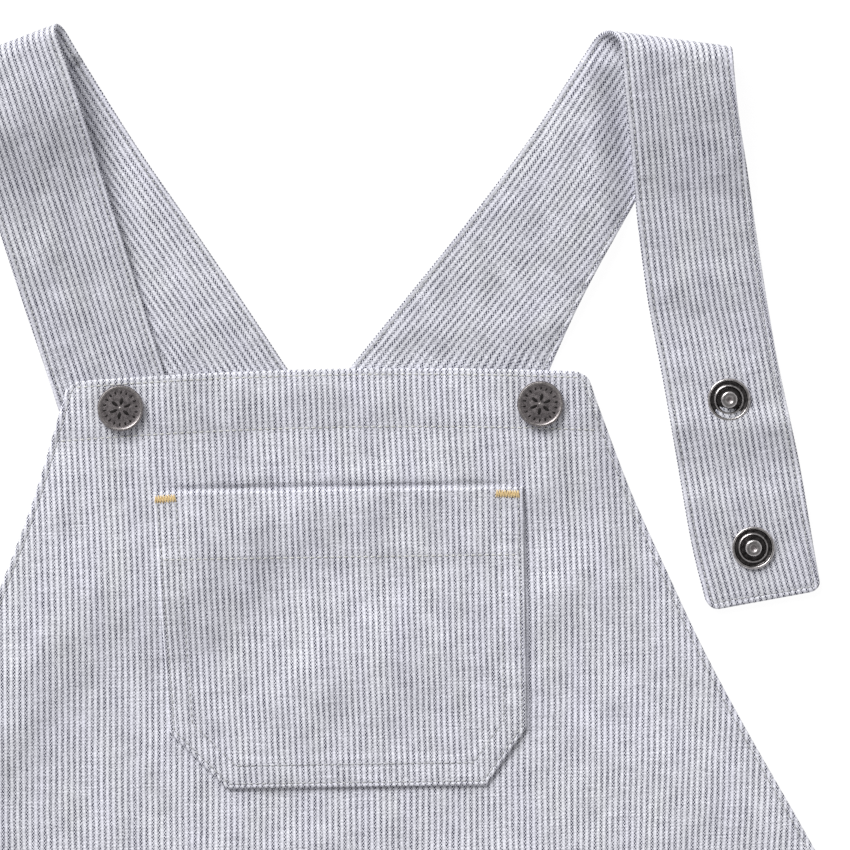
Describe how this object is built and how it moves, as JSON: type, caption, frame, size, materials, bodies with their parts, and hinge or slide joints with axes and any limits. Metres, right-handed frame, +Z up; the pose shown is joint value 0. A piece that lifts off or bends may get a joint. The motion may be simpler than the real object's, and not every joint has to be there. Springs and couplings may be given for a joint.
{
  "type": "kids bib overalls",
  "caption": "Child's striped bib overalls laid flat, with a patch pocket, snap straps crossing to the back and two straight legs.",
  "frame": {"origin": "on the underside, on the centre line, level with the underarms", "axes": "+X to the right as seen from above, +Y from the hems up to the straps, +Z up off the surface it lies on"},
  "size_m": [0.3762, 0.9513, 0.012],
  "materials": {
    "striped_cloth": "matt cotton twill with narrow woven stripes",
    "pewter": "antique pewter plating, satin",
    "gunmetal": "dark nickel plating, semi-gloss"
  },
  "bodies": {
    "root": {"back": "striped_cloth", "front": "striped_cloth", "pocket": "striped_cloth", "strap_left": "striped_cloth", "strap_right": "striped_cloth", "cap_left": "pewter", "cap_right": "pewter", "socket_left": "gunmetal", "socket_right": "gunmetal", "stud_left_upper": "gunmetal", "stud_left_lower": "gunmetal", "stud_right_upper": "gunmetal", "stud_right_lower": "gunmetal"}
  },
  "joints": []
}
